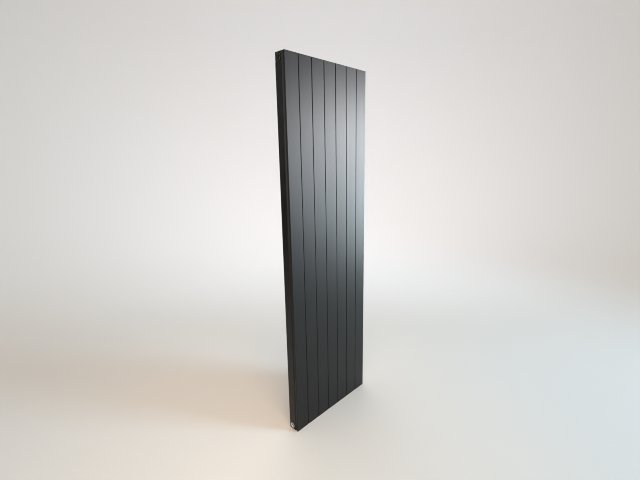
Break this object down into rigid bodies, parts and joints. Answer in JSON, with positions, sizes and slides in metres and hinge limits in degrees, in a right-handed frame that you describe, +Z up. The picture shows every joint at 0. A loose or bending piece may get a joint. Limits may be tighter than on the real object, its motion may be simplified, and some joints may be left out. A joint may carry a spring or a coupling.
{
  "type": "radiator",
  "caption": "Tall flat-panel heating radiator: side-by-side vertical extruded aluminium elements on square collector tubes, in satin black.",
  "frame": {"origin": "centre of the bounding box's bottom face, on the floor under the middle of the radiator", "axes": "+Z up, -Y out of the front face, +X to the right seen from the front"},
  "size_m": [0.576, 0.06, 1.833],
  "materials": {
    "powder_coat": "satin",
    "nickel_plate": "satin",
    "black_fitting": "satin",
    "brass": "satin",
    "mill_aluminium": "satin",
    "seal_rubber": "matte",
    "black_plastic": "matte"
  },
  "bodies": {
    "radiator": {"element_1": "powder_coat", "element_2": "powder_coat", "element_3": "powder_coat", "element_4": "powder_coat", "element_5": "powder_coat", "element_6": "powder_coat", "element_7": "powder_coat", "collector_bottom": "powder_coat", "collector_top": "powder_coat", "end_plate_bottom_left": "powder_coat", "end_plate_bottom_right": "powder_coat", "end_plate_top_left": "powder_coat", "end_plate_top_right": "powder_coat", "bush_bottom_left": "nickel_plate", "bush_bottom_right": "nickel_plate", "bush_top_left": "nickel_plate", "bush_top_right": "nickel_plate", "nipple_bottom_1": "brass", "nipple_bottom_2": "brass", "nipple_bottom_3": "brass", "nipple_bottom_4": "brass", "nipple_bottom_5": "brass", "nipple_bottom_6": "brass", "nipple_bottom_7": "brass", "gasket_bottom_1": "seal_rubber", "gasket_bottom_2": "seal_rubber", "gasket_bottom_3": "seal_rubber", "gasket_bottom_4": "seal_rubber", "gasket_bottom_5": "seal_rubber", "gasket_bottom_6": "seal_rubber", "gasket_bottom_7": "seal_rubber", "nipple_top_1": "brass", "nipple_top_2": "brass", "nipple_top_3": "brass", "nipple_top_4": "brass", "nipple_top_5": "brass", "nipple_top_6": "brass", "nipple_top_7": "brass", "gasket_top_1": "seal_rubber", "gasket_top_2": "seal_rubber", "gasket_top_3": "seal_rubber", "gasket_top_4": "seal_rubber", "gasket_top_5": "seal_rubber", "gasket_top_6": "seal_rubber", "gasket_top_7": "seal_rubber", "flow_diverter": "mill_aluminium", "plug_o_ring": "seal_rubber", "blanking_plug": "black_fitting", "vent_o_ring": "seal_rubber", "vent_body": "black_fitting"},
    "bleed_screw": {"bleed_screw": "brass"},
    "vent_spout": {"vent_spout": "black_plastic"}
  },
  "joints": [
    {"name": "bleed_screw_turn", "type": "hinge", "parent": "radiator", "child": "bleed_screw", "pos_m": [0.284, 0.009, 1.813], "axis": [1, 0, 0], "range_deg": [0, 540]},
    {"name": "vent_spout_turn", "type": "hinge", "parent": "radiator", "child": "vent_spout", "pos_m": [0.285, 0.009, 1.813], "axis": [1, 0, 0], "continuous": true}
  ]
}
